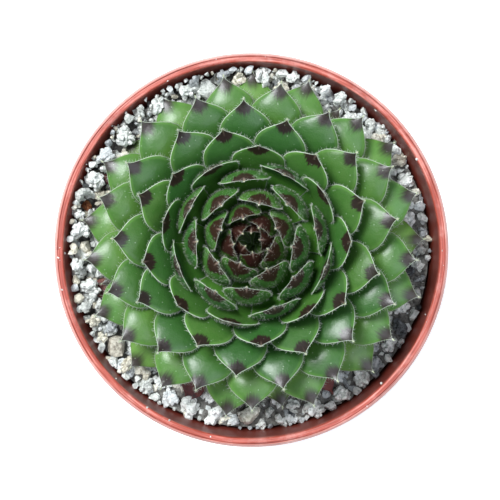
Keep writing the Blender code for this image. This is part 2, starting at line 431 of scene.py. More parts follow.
def blank_hair():
    """A three-sided spike 1 long, bent by its middle ring, to copy for every hair."""
    deselect()
    bpy.ops.mesh.primitive_cone_add(
        vertices=3, radius1=1, radius2=0, depth=1, end_fill_type="NOTHING", location=(0, 0, 0.5)
    )
    blank = bpy.context.object
    set_down(blank)
    edit_all()
    bpy.ops.mesh.bisect(plane_co=(0, 0, 0.5), plane_no=(0, 0, 1))
    bpy.ops.transform.resize(value=(1.4, 1.4, 1), center_override=(0, 0, 0.5))
    bpy.ops.object.mode_set(mode="OBJECT")
    blank.name = "blank hair"
    return blank


class Growing:
    """The points and faces of a leaf and of the hairs on it, as they are added."""

    def __init__(self):
        self.points = []
        self.faces = []
        self.kinds = []
        self.spots = []
        self.habits = []

    def blade(self, blank, form, habit):
        for vertex in blank.data.vertices:
            s = (vertex.co.z + 1) / 2
            girth = hypot(vertex.co.x, vertex.co.y)
            at_pole = girth < 1e-4
            across = 0.0 if at_pole else vertex.co.x / girth
            through = 0.0 if at_pole else vertex.co.y / girth
            face = through
            through = abs(through) ** mix(1.3, 1.0, habit[0]) * (1.0 if through > 0 else -1.0)
            s = min(1.0, max(0.0, s))
            point = form.at(s, across, through)
            half = form.half(s)
            back = form.from_tip(s)
            if at_pole and s > 0.5:
                along = form.middle(1)[1]
                point += Vector((along.x, 0, along.y)) * SPINE_LENGTH
                back = -SPINE_LENGTH
            self.points.append(point)
            self.spots += [back / MM, half * across / MM, half * (1 - abs(across)) / MM]
            self.habits += [habit[0], face, habit[1]]
        for face in blank.data.polygons:
            self.faces.append(tuple(face.vertices))
            self.kinds.append(0)

    def hair(self, blank, root, way, length, thick, habit, droop=0.0, kind=1):
        """Plants one hair: root place, direction, length, half thickness, and how far its end nods."""
        first = len(self.points)
        helper = Vector((0, 0, 1)) if abs(way.z) < 0.8 else Vector((1, 0, 0))
        side = way.cross(helper).normalized()
        up = side.cross(way)
        for vertex in blank.data.vertices:
            run = vertex.co.z
            nod = droop * length * run * run
            place = root + way * (run * length) + side * (vertex.co.x * thick)
            self.points.append(place + up * (vertex.co.y * thick + nod))
            self.spots += [run, 0.0, 0.0]
            self.habits += [habit[0], 0.0, habit[1]]
        for face in blank.data.polygons:
            self.faces.append(tuple(first + i for i in face.vertices))
            self.kinds.append(kind)

    def mesh(self, name, place):
        thing = build(name, [place @ p for p in self.points], self.faces)
        thing.data.polygons.foreach_set("material_index", self.kinds)
        mark(thing, "spot", "FLOAT_VECTOR", self.spots)
        mark(thing, "habit", "FLOAT_VECTOR", self.habits)
        thing.data.shade_smooth()
        return thing


def grow_fringe(leaf, blank, form, n, habit, dice):
    """The row of hairs along both edges, slanting to the tip, and the tuft at the tip."""
    young = exp(-n / 25)
    step = mix(FRINGE_STEP, YOUNG_FRINGE_STEP, young)
    longest = mix(FRINGE_LENGTH, YOUNG_FRINGE_LENGTH, young)
    for side in (-1, 1):
        back = 0.0002
        while back < min(FRINGE_REACH, 0.9 * form.length):
            s = form.share_at(back)
            edge = form.at(s, side, 0)
            outward = (edge - form.at(s, side * 0.8, 0)).normalized()
            tipward = (form.at(min(1.0, s + 0.01), side, 0) - edge).normalized()
            upward = outward.cross(tipward)
            slant = radians(dice.uniform(10, 58))
            lift = dice.uniform(-0.4, 0.4)
            way = (outward * cos(slant) + tipward * sin(slant) + upward * lift).normalized()
            length = longest * dice.uniform(0.45, 1.05) * mix(1.0, 0.75, ease(back / 0.009))
            thick = mix(HAIR_THICK, 0.000017, exp(-n / 6))
            leaf.hair(blank, edge - outward * 0.00004, way, length, thick, habit, dice.uniform(-0.15, 0.15))
            back += step * dice.uniform(0.6, 1.4)
    tip = form.at(1, 0, 0)
    along = form.middle(1)[1]
    forward = Vector((along.x, 0, along.y))
    sideways = Vector((0, 1, 0))
    upward = forward.cross(sideways)
    for i in range(9):
        spread = radians(mix(-80, 80, i / 8) + dice.uniform(-8, 8))
        way = forward * cos(spread) + sideways * sin(spread) + upward * dice.uniform(-0.35, 0.35)
        length = dice.uniform(0.0003, 0.0006) * mix(1.0, 0.7, young)
        thick = mix(HAIR_THICK, DOWN_THICK, young)
        leaf.hair(blank, tip - forward * 0.00005, way.normalized(), length, thick, habit)


def grow_velvet(leaf, blank, form, n, habit, dice):
    """Short down on the backs of the young leaves, thinner over the stained tip, lying towards the tip."""
    count = int(mix(420, 110, ease(n / DOWNY_LEAVES)))
    for _ in range(count):
        back = dice.uniform(0.0003, 0.0080)
        across = dice.uniform(-0.95, 0.95)
        if back < 0.0034 and abs(across) * form.half_width < 0.0018 and dice.random() < 0.9:
            continue
        s = form.share_at(min(back, 0.9 * form.length))
        through = -((1 - across * across) ** 0.65)
        root = form.at(s, across, through)
        tipward = (form.at(min(1.0, s + 0.02), across, through) - root).normalized()
        outward = (form.at(s, across, through * 1.6 - 0.1) - root).normalized()
        way = (tipward * 0.75 + outward * dice.uniform(0.45, 0.9)).normalized()
        leaf.hair(blank, root, way, dice.uniform(0.0003, 0.00055), DOWN_THICK, habit, kind=2)


def rosette_place():
    lean = Euler((radians(ROSETTE_LEAN[0]), radians(ROSETTE_LEAN[1]), 0)).to_matrix().to_4x4()
    return Matrix.Translation((*ROSETTE_PLACE, GRIT_LEVEL)) @ lean


def grow_rosette(leaf_looks, stem_look):
    blank = blank_leaf()
    hair = blank_hair()
    stand = rosette_place()
    for n in range(LEAF_COUNT):
        dice = random.Random(1000 + n)
        root_share = min(ROOT_SHARE, 0.6 * stem_radius(n) / (leaf_width(n) / 2))
        # The pointed end starts two thirds of the width behind the tip
        in_bud = bud_share(n)
        form = LeafForm(
            midrib(n), leaf_width(n), leaf_thickness(n), leaf_swell(n), root_share,
            mix(1.0, BUD_CUP, in_bud), mix(0.67, 0.66, in_bud), mix(0.65, 2.05, ease((n - 18) / 30))
        )
        habit = (age(n), dice.random())
        leaf = Growing()
        leaf.blade(blank, form, habit)
        grow_fringe(leaf, hair, form, n, habit, dice)
        if n < DOWNY_LEAVES:
            grow_velvet(leaf, hair, form, n, habit, dice)
        # No leaf sits quite in its turn
        astray = dice.uniform(-ASTRAY, ASTRAY) * ease((n - 4) / 20)
        turn = Matrix.Rotation(radians(FIRST_ANGLE + TURN * n + astray), 4, "Z")
        piece = leaf.mesh(f"fleshy_leaf_{n + 1:02d}", stand @ turn)
        young = n < HEART_LEAVES
        node = "stem_and_heart" if young else f"leaf_{n + 1:02d}"
        settle(piece, piece.name, leaf_looks[0 if young else 1], [node])
    grow_withered(blank, hair, leaf_looks[2])
    grow_stem(stem_look, stand)
    for spare in (blank, hair):
        bpy.data.objects.remove(spare, do_unlink=True)


# Withered leaves that stick out under the rosette: angle, reach, tip height, width
WITHERED = (
    (153.0, 0.0236, 0.0010, 0.0032),
    (194.5, 0.0237, 0.0012, 0.0028),
    (247.0, 0.0234, 0.0010, 0.0034),
    (299.5, 0.0232, 0.0012, 0.0030),
)


def grow_withered(blank, hair, looks):
    for i, (angle, reach, height, width) in enumerate(WITHERED):
        dice = random.Random(70 + i)
        # Root, and the two places that bend it, all close over the grit
        bends = (Vector((0.0045, 0.0008)), Vector((0.012, 0.0010)), Vector((0.018, 0.0016)))
        middle = curve(*bends, Vector((reach, height)))
        form = LeafForm(middle, width, 0.0005, 0.0003, 0.5)
        leaf = Growing()
        leaf.blade(blank, form, (1.0, dice.random()))
        for j, point in enumerate(leaf.points):
            crumple = noise.noise(point * 700 + Vector((i * 9, 0, 0)))
            leaf.points[j] = point + Vector((0, 0.0003 * crumple, 0.00055 * crumple))
        grow_fringe(leaf, hair, form, LEAF_COUNT - 1, (1.0, 0.5), dice)
        turn = Matrix.Rotation(radians(angle), 4, "Z")
        place = Matrix.Translation((0, 0, GRIT_LEVEL)) @ turn
        piece = leaf.mesh(f"withered_leaf_{i + 1}", place)
        settle(piece, piece.name, looks)


def grow_stem(look, stand):
    """The short stem inside the rosette, turned from a ring pulled up in steps."""
    deselect()
    bpy.ops.mesh.primitive_circle_add(vertices=24, radius=0.7 * STEM_RADIUS, fill_type="NGON")
    stem = bpy.context.object
    bpy.ops.transform.translate(value=(0, 0, -0.004))
    set_down(stem)
    edit_all()
    profile = [(0.7 * STEM_RADIUS, -0.004), (STEM_RADIUS, 0)]
    for n in (96, 80, 65, 50, 35, 20, 8):
        profile.append((stem_radius(n), stem_height(n)))
    pull_rings(profile)
    close_up()
    stem.data.transform(stand)
    stem.data.shade_smooth()
    settle(stem, "stem", [look], ["stem_and_heart"])


# Pot ------------------------------------------------------------------------------------------------

def arc(centre, radius, start, end, count):
    points = []
    for i in range(count + 1):
        a = radians(mix(start, end, i / count))
        points.append((centre[0] + radius * cos(a), centre[1] + radius * sin(a)))
    return points


def pot_profile():
    """Radius and height from the middle of the inside floor, over the rim, to the middle of the underside."""
    floor_top = FOOT_RING_HEIGHT + FLOOR
    band_foot = POT_HEIGHT - RIM_HEIGHT
    profile = [(0.0020, floor_top), (0.0150, floor_top)]
    corner = inner_radius(floor_top) - INSIDE_CORNER
    profile += arc((corner, floor_top + INSIDE_CORNER), INSIDE_CORNER * 0.98, -88, -4, 5)
    for share in (0.25, 0.5, 0.75):
        height = mix(floor_top, band_foot, share)
        profile.append((inner_radius(height), height))
    profile.append((inner_radius(band_foot), band_foot))
    # The lip is flat on top, with a fine parting line and then a chamfer to the outside
    inside = RIM_RADIUS - RIM_WIDTH
    profile.append((inner_radius(POT_HEIGHT - 0.002), POT_HEIGHT - 0.002))
    profile.append((inside, POT_HEIGHT - 0.00045))
    profile += arc((inside + 0.0003, POT_HEIGHT - 0.0003), 0.0003, 170, 95, 4)
    profile.append((RIM_RADIUS - 0.00058, POT_HEIGHT - 0.00003))
    profile.append((RIM_RADIUS - 0.00052, POT_HEIGHT - 0.00022))
    profile.append((RIM_RADIUS - 0.00046, POT_HEIGHT - 0.00008))
    profile.append((RIM_RADIUS - 0.00036, POT_HEIGHT - 0.00006))
    profile.append((RIM_RADIUS - 0.00012, POT_HEIGHT - 0.00030))
    profile.append((RIM_RADIUS, POT_HEIGHT - 0.00060))
    profile.append((RIM_RADIUS, band_foot + RIM_STEP + 0.0003))
    profile.append((RIM_RADIUS - 0.0002, band_foot + RIM_STEP - 0.0001))
    profile.append((RIM_RADIUS - RIM_STEP, band_foot))
    for share in (0.75, 0.5, 0.25):
        profile.append((wall_radius(band_foot * share), band_foot * share))
    profile.append((wall_radius(2 * FOOT_CHAMFER), 2 * FOOT_CHAMFER))
    foot = wall_radius(0)
    profile += [(foot - FOOT_CHAMFER * 0.35, FOOT_CHAMFER * 0.6), (foot - FOOT_CHAMFER, 0)]
    profile.append((foot - FOOT_CHAMFER - FOOT_RING_WIDTH, 0))
    profile.append((foot - FOOT_CHAMFER - FOOT_RING_WIDTH - FOOT_DRAFT, FOOT_RING_HEIGHT))
    profile += [(0.0150, FOOT_RING_HEIGHT), (0.0020, FOOT_RING_HEIGHT)]
    return profile


def cut_away(piece, cutter):
    """Cuts one solid out of a piece, and removes the solid."""
    only(piece)
    cut = piece.modifiers.new("cut", "BOOLEAN")
    cut.operation = "DIFFERENCE"
    cut.solver = "EXACT"
    cut.object = cutter
    bpy.ops.object.modifier_apply(modifier="cut")
    bpy.data.objects.remove(cutter, do_unlink=True)


def mould_pot(look):
    profile = pot_profile()
    radius, height = profile[0]
    deselect()
    bpy.ops.mesh.primitive_circle_add(vertices=POT_STEPS, radius=radius, location=(0, 0, height))
    pot = bpy.context.object
    set_down(pot)
    edit_all()
    pull_rings(profile)
    bpy.ops.mesh.select_all(action="SELECT")
    bpy.ops.mesh.fill_holes(sides=0)
    close_up()
    drain_pot(pot)
    notch_foot(pot)
    only(pot)
    bpy.ops.object.shade_smooth_by_angle(angle=radians(38))
    settle(pot, "moulded_pot", [look], ["pot"])


def drain_pot(pot):
    """The drainage holes through the floor: one in the middle and a ring of others."""
    middle = FOOT_RING_HEIGHT + FLOOR / 2
    places = [(0.0, 0.0)]
    for i in range(DRAIN_COUNT):
        a = 2 * pi * (i + 0.5) / DRAIN_COUNT
        places.append((DRAIN_RING_RADIUS * cos(a), DRAIN_RING_RADIUS * sin(a)))
    for x, y in places:
        deselect()
        bpy.ops.mesh.primitive_cylinder_add(
            vertices=32, radius=DRAIN_RADIUS, depth=4 * FLOOR, location=(x, y, middle)
        )
        cut_away(pot, bpy.context.object)


def notch_foot(pot):
    """Four notches through the foot ring, which let water run out from under the pot."""
    for i in range(4):
        angle = pi / 4 + i * pi / 2
        deselect()
        bpy.ops.mesh.primitive_cube_add(size=1)
        notch = bpy.context.object
        notch.dimensions = (5 * FOOT_RING_WIDTH, FOOT_SLOT, 1.2 * FOOT_RING_HEIGHT)
        reach = wall_radius(0) - FOOT_RING_WIDTH / 2
        notch.location = (reach * cos(angle), reach * sin(angle), 0)
        notch.rotation_euler = (0, 0, angle)
        set_down(notch)
        cut_away(pot, notch)


# Grit -----------------------------------------------------------------------------------------------

def blank_stone(seed, faces):
    """An angular stone about 1 across: a ball with flats broken off it, thinned to a few dozen faces."""
    dice = random.Random(seed)
    deselect()
    bpy.ops.mesh.primitive_ico_sphere_add(subdivisions=3, radius=0.55)
    stone = bpy.context.object
    bpy.ops.object.mode_set(mode="EDIT")
    for _ in range(9):
        way = Vector((dice.gauss(0, 1), dice.gauss(0, 1), dice.gauss(0, 1))).normalized()
        bpy.ops.mesh.select_all(action="SELECT")
        bpy.ops.mesh.bisect(
            plane_co=way * dice.uniform(0.26, 0.44), plane_no=way, use_fill=True, clear_outer=True
        )
    bpy.ops.mesh.select_all(action="SELECT")
    bpy.ops.mesh.quads_convert_to_tris()
    bpy.ops.object.mode_set(mode="OBJECT")
    for vertex in stone.data.vertices:
        vertex.co *= 1 + 0.16 * noise.noise(vertex.co * 4 + Vector((seed, 0, 0)))
    if faces:
        thin = stone.modifiers.new("thin", "DECIMATE")
        thin.ratio = min(1.0, faces / len(stone.data.polygons))
        bpy.ops.object.modifier_apply(modifier="thin")
    bpy.ops.object.mode_set(mode="EDIT")
    close_up()
    stone.name = f"blank stone {seed}"
    return stone


def blank_lump(seed, crystals, facets):
    """Crystals grown together into one crusty lump about 1 across; few-faceted ones for the smaller lumps."""
    dice = random.Random(seed)
    deselect()
    for i in range(crystals):
        way = Vector((dice.gauss(0, 1), dice.gauss(0, 1), dice.gauss(0, 1))).normalized()
        spread = (19 / crystals) ** 0.35
        size = 0.34 if i == 0 else dice.uniform(0.10, 0.21) * spread
        place = Vector((0, 0, 0)) if i == 0 else way * dice.uniform(0.28, 0.37)
        turn = [dice.uniform(0, 2 * pi) for _ in range(3)]
        if i == 0 or facets == 20:
            bpy.ops.mesh.primitive_ico_sphere_add(subdivisions=1, radius=size, location=place, rotation=turn)
        else:
            bpy.ops.mesh.primitive_uv_sphere_add(
                segments=4, ring_count=2, radius=size, location=place, rotation=turn
            )
        crystal = bpy.context.object
        crystal.scale = (1, dice.uniform(0.7, 1.0), dice.uniform(0.6, 1.2))
        set_down(crystal)
        for vertex in crystal.data.vertices:
            knock = Vector((dice.uniform(-1, 1), dice.uniform(-1, 1), dice.uniform(-1, 1)))
            vertex.co += knock * 0.16 * size
        crystal.name = f"crystal {i}"
    deselect()
    for i in range(crystals):
        bpy.data.objects[f"crystal {i}"].select_set(True)
    lump = bpy.data.objects["crystal 0"]
    bpy.context.view_layer.objects.active = lump
    bpy.ops.object.join()
    lump.name = f"blank lump {seed}"
    return lump


def grit_top(radius):
    """Height of the dished top of the grit bed."""
    hole = STEM_RADIUS + CLEARANCE + hypot(*ROSETTE_PLACE)
    edge = inner_radius(GRIT_LEVEL) - CLEARANCE
    share = min(1.0, max(0.0, (radius - hole) / (edge - hole)))
    return GRIT_LEVEL - GRIT_DISH * (1 - share**6)


class Heap:
    """Loose stones of one colour, gathered into one piece."""

    def __init__(self):
        self.points = []
        self.faces = []
        self.shades = []

    def drop(self, blank, place, size, dice):
        first = len(self.points)
        turn = Euler([dice.uniform(0, 2 * pi) for _ in range(3)]).to_matrix().to_4x4()
        squash = Matrix.Diagonal((1.0, dice.uniform(0.78, 1.0), dice.uniform(0.62, 0.95), 1))
        matrix = Matrix.Translation(place) @ turn @ squash @ Matrix.Scale(size, 4)
        shade = dice.random()
        for vertex in blank.data.vertices:
            self.points.append(matrix @ vertex.co)
            self.shades.append(shade)
        for face in blank.data.polygons:
            self.faces.append(tuple(first + i for i in face.vertices))

    def piece(self, name, look):
        thing = build(name, self.points, self.faces)
        mark(thing, "shade", "FLOAT", self.shades)
        only(thing)
        bpy.ops.object.shade_smooth_by_angle(angle=radians(28))
        settle(thing, name, [look])


def pile(angle, radius):
    """How much higher the grit lies where it is heaped against the wall on one side."""
    bank = max(0.0, 0.22 + 0.78 * cos(angle - radians(HEAP_ANGLE))) ** 0.7
    return HEAP_HEIGHT * bank * ease((radius - HEAP_FROM) / HEAP_SLOPE)


def spread_grit(looks):
    """Sieved grit from dust to 3 mm: crusty lumps first, then smaller broken stones into the gaps."""
    blanks = [blank_stone(seed, 32) for seed in range(8)]
    lumps = [blank_lump(seed, 19, 20) for seed in range(50, 56)]
    small_lumps = [blank_lump(seed, 6, 8) for seed in range(60, 66)]
    dice = random.Random(5)
    heaps = {"pale": Heap(), "grey": Heap(), "dark": Heap(), "cream": Heap()}
    lying = []
    for name in LOOSE_STONES:
        low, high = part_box(name)
        lying.append(((low.x + high.x) / 2, (low.y + high.y) / 2, max(high.x - low.x, high.y - low.y)))
    named = list(lying)

    for grade, count in GRADES:
        crusty = grade > CRUSTY_GRADE
        for _ in range(count):
            size = grade * dice.uniform(0.8, 1.2)
            for _ in range(24):
                angle = dice.uniform(0, 2 * pi)
                farthest = inner_radius(GRIT_LEVEL + pile(angle, 0.025)) - 0.38 * size
                nearest = LUMPS_REACH_IN if crusty else STONES_REACH_IN
                radius = (dice.uniform(nearest**2, farthest**2)) ** 0.5
                x = radius * cos(angle)
                y = radius * sin(angle)
                clear = all(hypot(x - a, y - b) > 0.40 * (size + c) for a, b, c in lying)
                if clear:
                    break
            under_named = any(hypot(x - a, y - b) < 0.5 * c for a, b, c in named)
            if not clear and (crusty or under_named):
                continue
            lift = 0.22 * size if clear else -0.10 * size
            if clear:
                lying.append((x, y, size))
            lift += pile(angle, radius) * (1.0 if clear else dice.uniform(0.3, 0.9))
            place = Vector((x, y, grit_top(radius) + lift + dice.uniform(-0.0002, 0.0002)))
            # Darker stones are put on the side away from the window as painted shade: grey ones more often
            # there, dark ones only there
            chance_and_shade = dice.random() + 0.12 * cos(angle - radians(SHADY_ANGLE))
            heap = next(colour for colour, upto in HEAP_SHARES if chance_and_shade < upto)
            kind = lumps if grade > LUMP_GRADE else small_lumps if crusty else blanks
            heaps[heap].drop(dice.choice(kind), place, size, dice)
            # Where the grit is heaped there are more stones beneath the top ones
            if clear and pile(angle, radius) > 0.0006:
                for _ in range(2):
                    aside = Vector((dice.uniform(-0.6, 0.6), dice.uniform(-0.6, 0.6), -0.75)) * size
                    inside = place + aside
                    gaps = [hypot(inside.x - a, inside.y - b) - 0.5 * c for a, b, c in named]
                    free = min(gaps) > 0.3 * size
                    if free and hypot(inside.x, inside.y) < inner_radius(inside.z) - 0.4 * size:
                        heaps["pale"].drop(dice.choice(small_lumps), inside, 0.8 * size, dice)
    # A few crumbs have stuck to the rim
    for _ in range(RIM_CRUMBS):
        angle = dice.uniform(0, 2 * pi)
        radius = RIM_RADIUS - dice.uniform(0.3, 1.4) * RIM_WIDTH
        height = POT_HEIGHT - (0.0001 if radius > RIM_RADIUS - RIM_WIDTH else 0.0009)
        place = Vector((radius * cos(angle), radius * sin(angle), height))
        heaps["pale"].drop(dice.choice(blanks), place, dice.uniform(0.00015, 0.00045), dice)
    for name, heap in heaps.items():
        heap.piece(f"grit_{name}", looks[name])
    for blank in blanks + lumps + small_lumps:
        bpy.data.objects.remove(blank, do_unlink=True)


def lay_stones(looks):
    """The four biggest loose stones by the wall, each where its CAD solid is."""
    for i, name in enumerate(LOOSE_STONES):
        low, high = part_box(name)
        stone = blank_stone(31 + i, 0)
        only(stone)
        rounder = stone.modifiers.new("round", "SUBSURF")
        rounder.levels = 2
        rounder.render_levels = 2
        bpy.ops.object.modifier_apply(modifier="round")
        # Pitted and knobbly, with crystals about a seventh of its width
        for vertex in stone.data.vertices:
            pits = noise.fractal(vertex.co * 5 + Vector((i * 7, 0, 0)), 0.7, 2.1, 4)
            knobs = noise.voronoi(vertex.co * 7 + Vector((i * 5, 0, 0)))[0][0]
            vertex.co *= 1.06 + 0.05 * pits - 0.16 * knobs
        corners = [v.co for v in stone.data.vertices]
        least = Vector([min(c[k] for c in corners) for k in range(3)])
        most = Vector([max(c[k] for c in corners) for k in range(3)])
        fit = [(high[k] - low[k]) / (most[k] - least[k]) for k in range(3)]
        middle = (low + high) / 2 - Vector((0, 0, 0.0004))
        centred = Matrix.Translation(-(least + most) / 2)
        stone.data.transform(Matrix.Translation(middle) @ Matrix.Diagonal((*fit, 1)) @ centred)
        mark(stone, "shade", "FLOAT", [0.5] * len(stone.data.vertices))
        only(stone)
        bpy.ops.object.shade_smooth_by_angle(angle=radians(40))
        settle(stone, f"loose_{name}", [looks[name]], [name])


# Materials ------------------------------------------------------------------------------------------

def leaf_green(look, place, where, how):
    """The flesh's green, leaf by leaf and over each leaf, with painted shade at the roots of the heart leaves
    and the middle ones.
    """
    # Green from the heart outwards
    green = add(look, "ShaderNodeValToRGB", {"Fac": how["X"]}, stops=[
        (0.0, "#3c5216"), (0.05, "#2a4413"), (0.1, "#48733a"), (0.22, "#3e6938"), (0.42, "#34592f"),
        (0.65, "#3b5f31"), (0.88, "#65884f"), (1.0, "#8aa553")])
    # Some leaves are yellower than their neighbours
    ripe = add(look, "ShaderNodeMath", {0: how["Z"], 1: 0.3}, operation="MULTIPLY")
    green = add(look, "ShaderNodeMix", {
        "Factor": ripe.outputs[0], "A": green.outputs["Color"], "B": linear("#6e8c3c")}, data_type="RGBA")
    # Cloudy mottling, patches 1 to 2 mm across
    cloud = add(look, "ShaderNodeTexNoise", {
        "Vector": place, "Scale": 700.0, "Detail": 4.0, "Roughness": 0.6})
    clouded = add(look, "ShaderNodeMix", {
        "Factor": cloud.outputs["Fac"], "A": green.outputs["Result"], "B": linear("#6f9a62")},
        data_type="RGBA", blend_type="SOFT_LIGHT")
    # Towards the root young and old leaves turn lime, while the heart leaves are painted near black there and
    # the ones between dark green, as painted shade where the leaves overlap; all are lighter at the edge
    root_tint_and_shade = add(look, "ShaderNodeMapRange", {
        "Value": where["X"], "From Min": 2.6, "From Max": 7.0, "To Min": 0.0, "To Max": 0.7},
        interpolation_type="SMOOTHSTEP")
    edgy = add(look, "ShaderNodeMapRange", {
        "Value": where["Z"], "From Min": 0.7, "From Max": 0.05, "To Min": 0.0, "To Max": 0.3},
        interpolation_type="SMOOTHSTEP")
    # Root colour by age: lime for young and old leaves, painted shade for the heart and the middle leaves
    root_green_and_shade = add(look, "ShaderNodeValToRGB", {"Fac": how["X"]}, stops=[
        (0.04, "#120f06"), (0.1, "#5c8c2e"), (0.26, "#487a2a"), (0.42, "#1c3c18"), (0.62, "#2a5220"),
        (0.85, "#76a03c"), (1.0, "#98b650")])
    rooted_and_shaded = add(look, "ShaderNodeMix", {
        "Factor": root_tint_and_shade.outputs[0], "A": clouded.outputs["Result"], "B": root_green_and_shade.outputs["Color"]},
        data_type="RGBA")
    warmed = add(look, "ShaderNodeMix", {
        "Factor": edgy.outputs[0], "A": rooted_and_shaded.outputs["Result"], "B": linear("#6c9c46")}, data_type="RGBA")
    return warmed.outputs["Result"]


def tip_stain(look, where, how):
    """How much of the maroon stain a place at the tip has."""
    # Maroon stain at the tip: sharp and ragged on young leaves, soft on old ones
    ribs = add(look, "ShaderNodeCombineXYZ", {"X": where["Y"], "Y": how["X"], "Z": how["Z"]})
    ragged = add(look, "ShaderNodeTexNoise", {
        "Vector": ribs.outputs[0], "Scale": 4.2, "Detail": 3.0, "Roughness": 0.7})
    rag = add(look, "ShaderNodeMath", {0: ragged.outputs["Fac"], 1: 0.5}, operation="SUBTRACT")
    rag_size = add(look, "ShaderNodeMapRange", {
        "Value": how["X"], "From Min": 0.1, "From Max": 0.9, "To Min": 2.6, "To Max": 1.2})
    rag = add(look, "ShaderNodeMath", {0: rag.outputs[0], 1: rag_size.outputs[0]}, operation="MULTIPLY")
    reach = add(look, "ShaderNodeMath", {0: where["X"], 1: rag.outputs[0]}, operation="ADD")
    # A shield: widest along the edges, and running to a blunt point down the middle
    depth = add(look, "ShaderNodeMapRange", {
        "Value": how["X"], "From Min": 0.06, "From Max": 0.5, "To Min": 3.3, "To Max": 2.25})
    deep = add(look, "ShaderNodeMath", {0: reach.outputs[0], 1: depth.outputs[0]}, operation="DIVIDE")
    deep = add(look, "ShaderNodeMath", {0: deep.outputs[0], 1: 0.0}, operation="MAXIMUM")
    deep = add(look, "ShaderNodeMath", {0: deep.outputs[0], 1: 1.5}, operation="POWER")
    breadth = add(look, "ShaderNodeMapRange", {
        "Value": how["X"], "From Min": 0.1, "From Max": 0.9, "To Min": 2.2, "To Max": 2.0})
    wide = add(look, "ShaderNodeMath", {0: where["Y"], 1: breadth.outputs[0]}, operation="DIVIDE")
    wide = add(look, "ShaderNodeMath", {0: wide.outputs[0]}, operation="ABSOLUTE")
    wide = add(look, "ShaderNodeMath", {0: wide.outputs[0], 1: 1.5}, operation="POWER")
    shield = add(look, "ShaderNodeMath", {0: deep.outputs[0], 1: wide.outputs[0]}, operation="ADD")
    inside = add(look, "ShaderNodeMath", {0: 1.0, 1: shield.outputs[0]}, operation="SUBTRACT")
    softness = add(look, "ShaderNodeMapRange", {
        "Value": how["X"], "From Min": 0.35, "From Max": 1.0, "To Min": 0.08, "To Max": 0.65})
    share = add(look, "ShaderNodeMath", {0: inside.outputs[0], 1: softness.outputs[0]}, operation="DIVIDE")
    stain = add(look, "ShaderNodeMapRange", {
        "Value": share.outputs[0], "From Min": -1.0, "From Max": 1.0, "To Min": 0.0, "To Max": 0.93},
        interpolation_type="SMOOTHSTEP")
    return stain.outputs[0]


def keel_streak(look, where, how):
    """How bleached the keel is, on the young leaves."""
    # On young leaves a bleached keel runs back from the tip
    off_keel = add(look, "ShaderNodeMath", {0: where["Y"]}, operation="ABSOLUTE")
    keel = add(look, "ShaderNodeMapRange", {
        "Value": off_keel.outputs[0], "From Min": 0.16, "From Max": 0.04, "To Min": 0.0, "To Max": 0.55})
    keel_end = add(look, "ShaderNodeMapRange", {
        "Value": where["X"], "From Min": 1.5, "From Max": 0.3, "To Min": 0.0, "To Max": 1.0})
    young = add(look, "ShaderNodeMapRange", {
        "Value": how["X"], "From Min": 0.32, "From Max": 0.5, "To Min": 1.0, "To Max": 0.0})
    bleached = add(look, "ShaderNodeMath", {0: keel.outputs[0], 1: keel_end.outputs[0]}, operation="MULTIPLY")
    bleached = add(look, "ShaderNodeMath", {0: bleached.outputs[0], 1: young.outputs[0]},
                   operation="MULTIPLY")
    return bleached.outputs[0]


def edge_line(look, where, how):
    """How much of the thin clear edge a place has."""
    line = add(look, "ShaderNodeMapRange", {
        "Value": where["Z"], "From Min": 0.085, "From Max": 0.035, "To Min": 0.0, "To Max": 0.8},
        interpolation_type="SMOOTHSTEP")
    clearer = add(look, "ShaderNodeMapRange", {
        "Value": how["X"], "From Min": 0.5, "From Max": 0.95, "To Min": 1.0, "To Max": 0.45})
    line = add(look, "ShaderNodeMath", {0: line.outputs[0], 1: clearer.outputs[0]}, operation="MULTIPLY")
    opened = add(look, "ShaderNodeMapRange", {
        "Value": how["X"], "From Min": 0.02, "From Max": 0.14, "To Min": 0.3, "To Max": 1.0})
    line = add(look, "ShaderNodeMath", {0: line.outputs[0], 1: opened.outputs[0]}, operation="MULTIPLY")
    return line.outputs[0]


def skin_relief(look, shader, place, rough):
    """The skin's grain and its low waves, in its gloss and its bumps."""
    # Skin cells are far too fine to see, so the grain is drawn at about 0.2 mm
    cells = add(look, "ShaderNodeTexNoise", {
        "Vector": place, "Scale": 5200.0, "Detail": 2.0, "Roughness": 0.6})
    gloss = add(look, "ShaderNodeMapRange", {
        "Value": cells.outputs["Fac"], "From Min": 0.3, "From Max": 0.7, "To Min": rough - 0.07,
        "To Max": rough + 0.1})
    join_up(look, gloss.outputs[0], shader.inputs["Roughness"])
    waves = add(look, "ShaderNodeTexNoise", {
        "Vector": place, "Scale": 900.0, "Detail": 3.0, "Roughness": 0.5})
    relief = add(look, "ShaderNodeMath", {0: waves.outputs["Fac"], 1: 2.2, 2: cells.outputs["Fac"]},
                 operation="MULTIPLY_ADD")
    bump = add(look, "ShaderNodeBump", {
        "Height": relief.outputs[0], "Strength": 0.35, "Distance": 0.00012})
    join_up(look, bump.outputs[0], shader.inputs["Normal"])


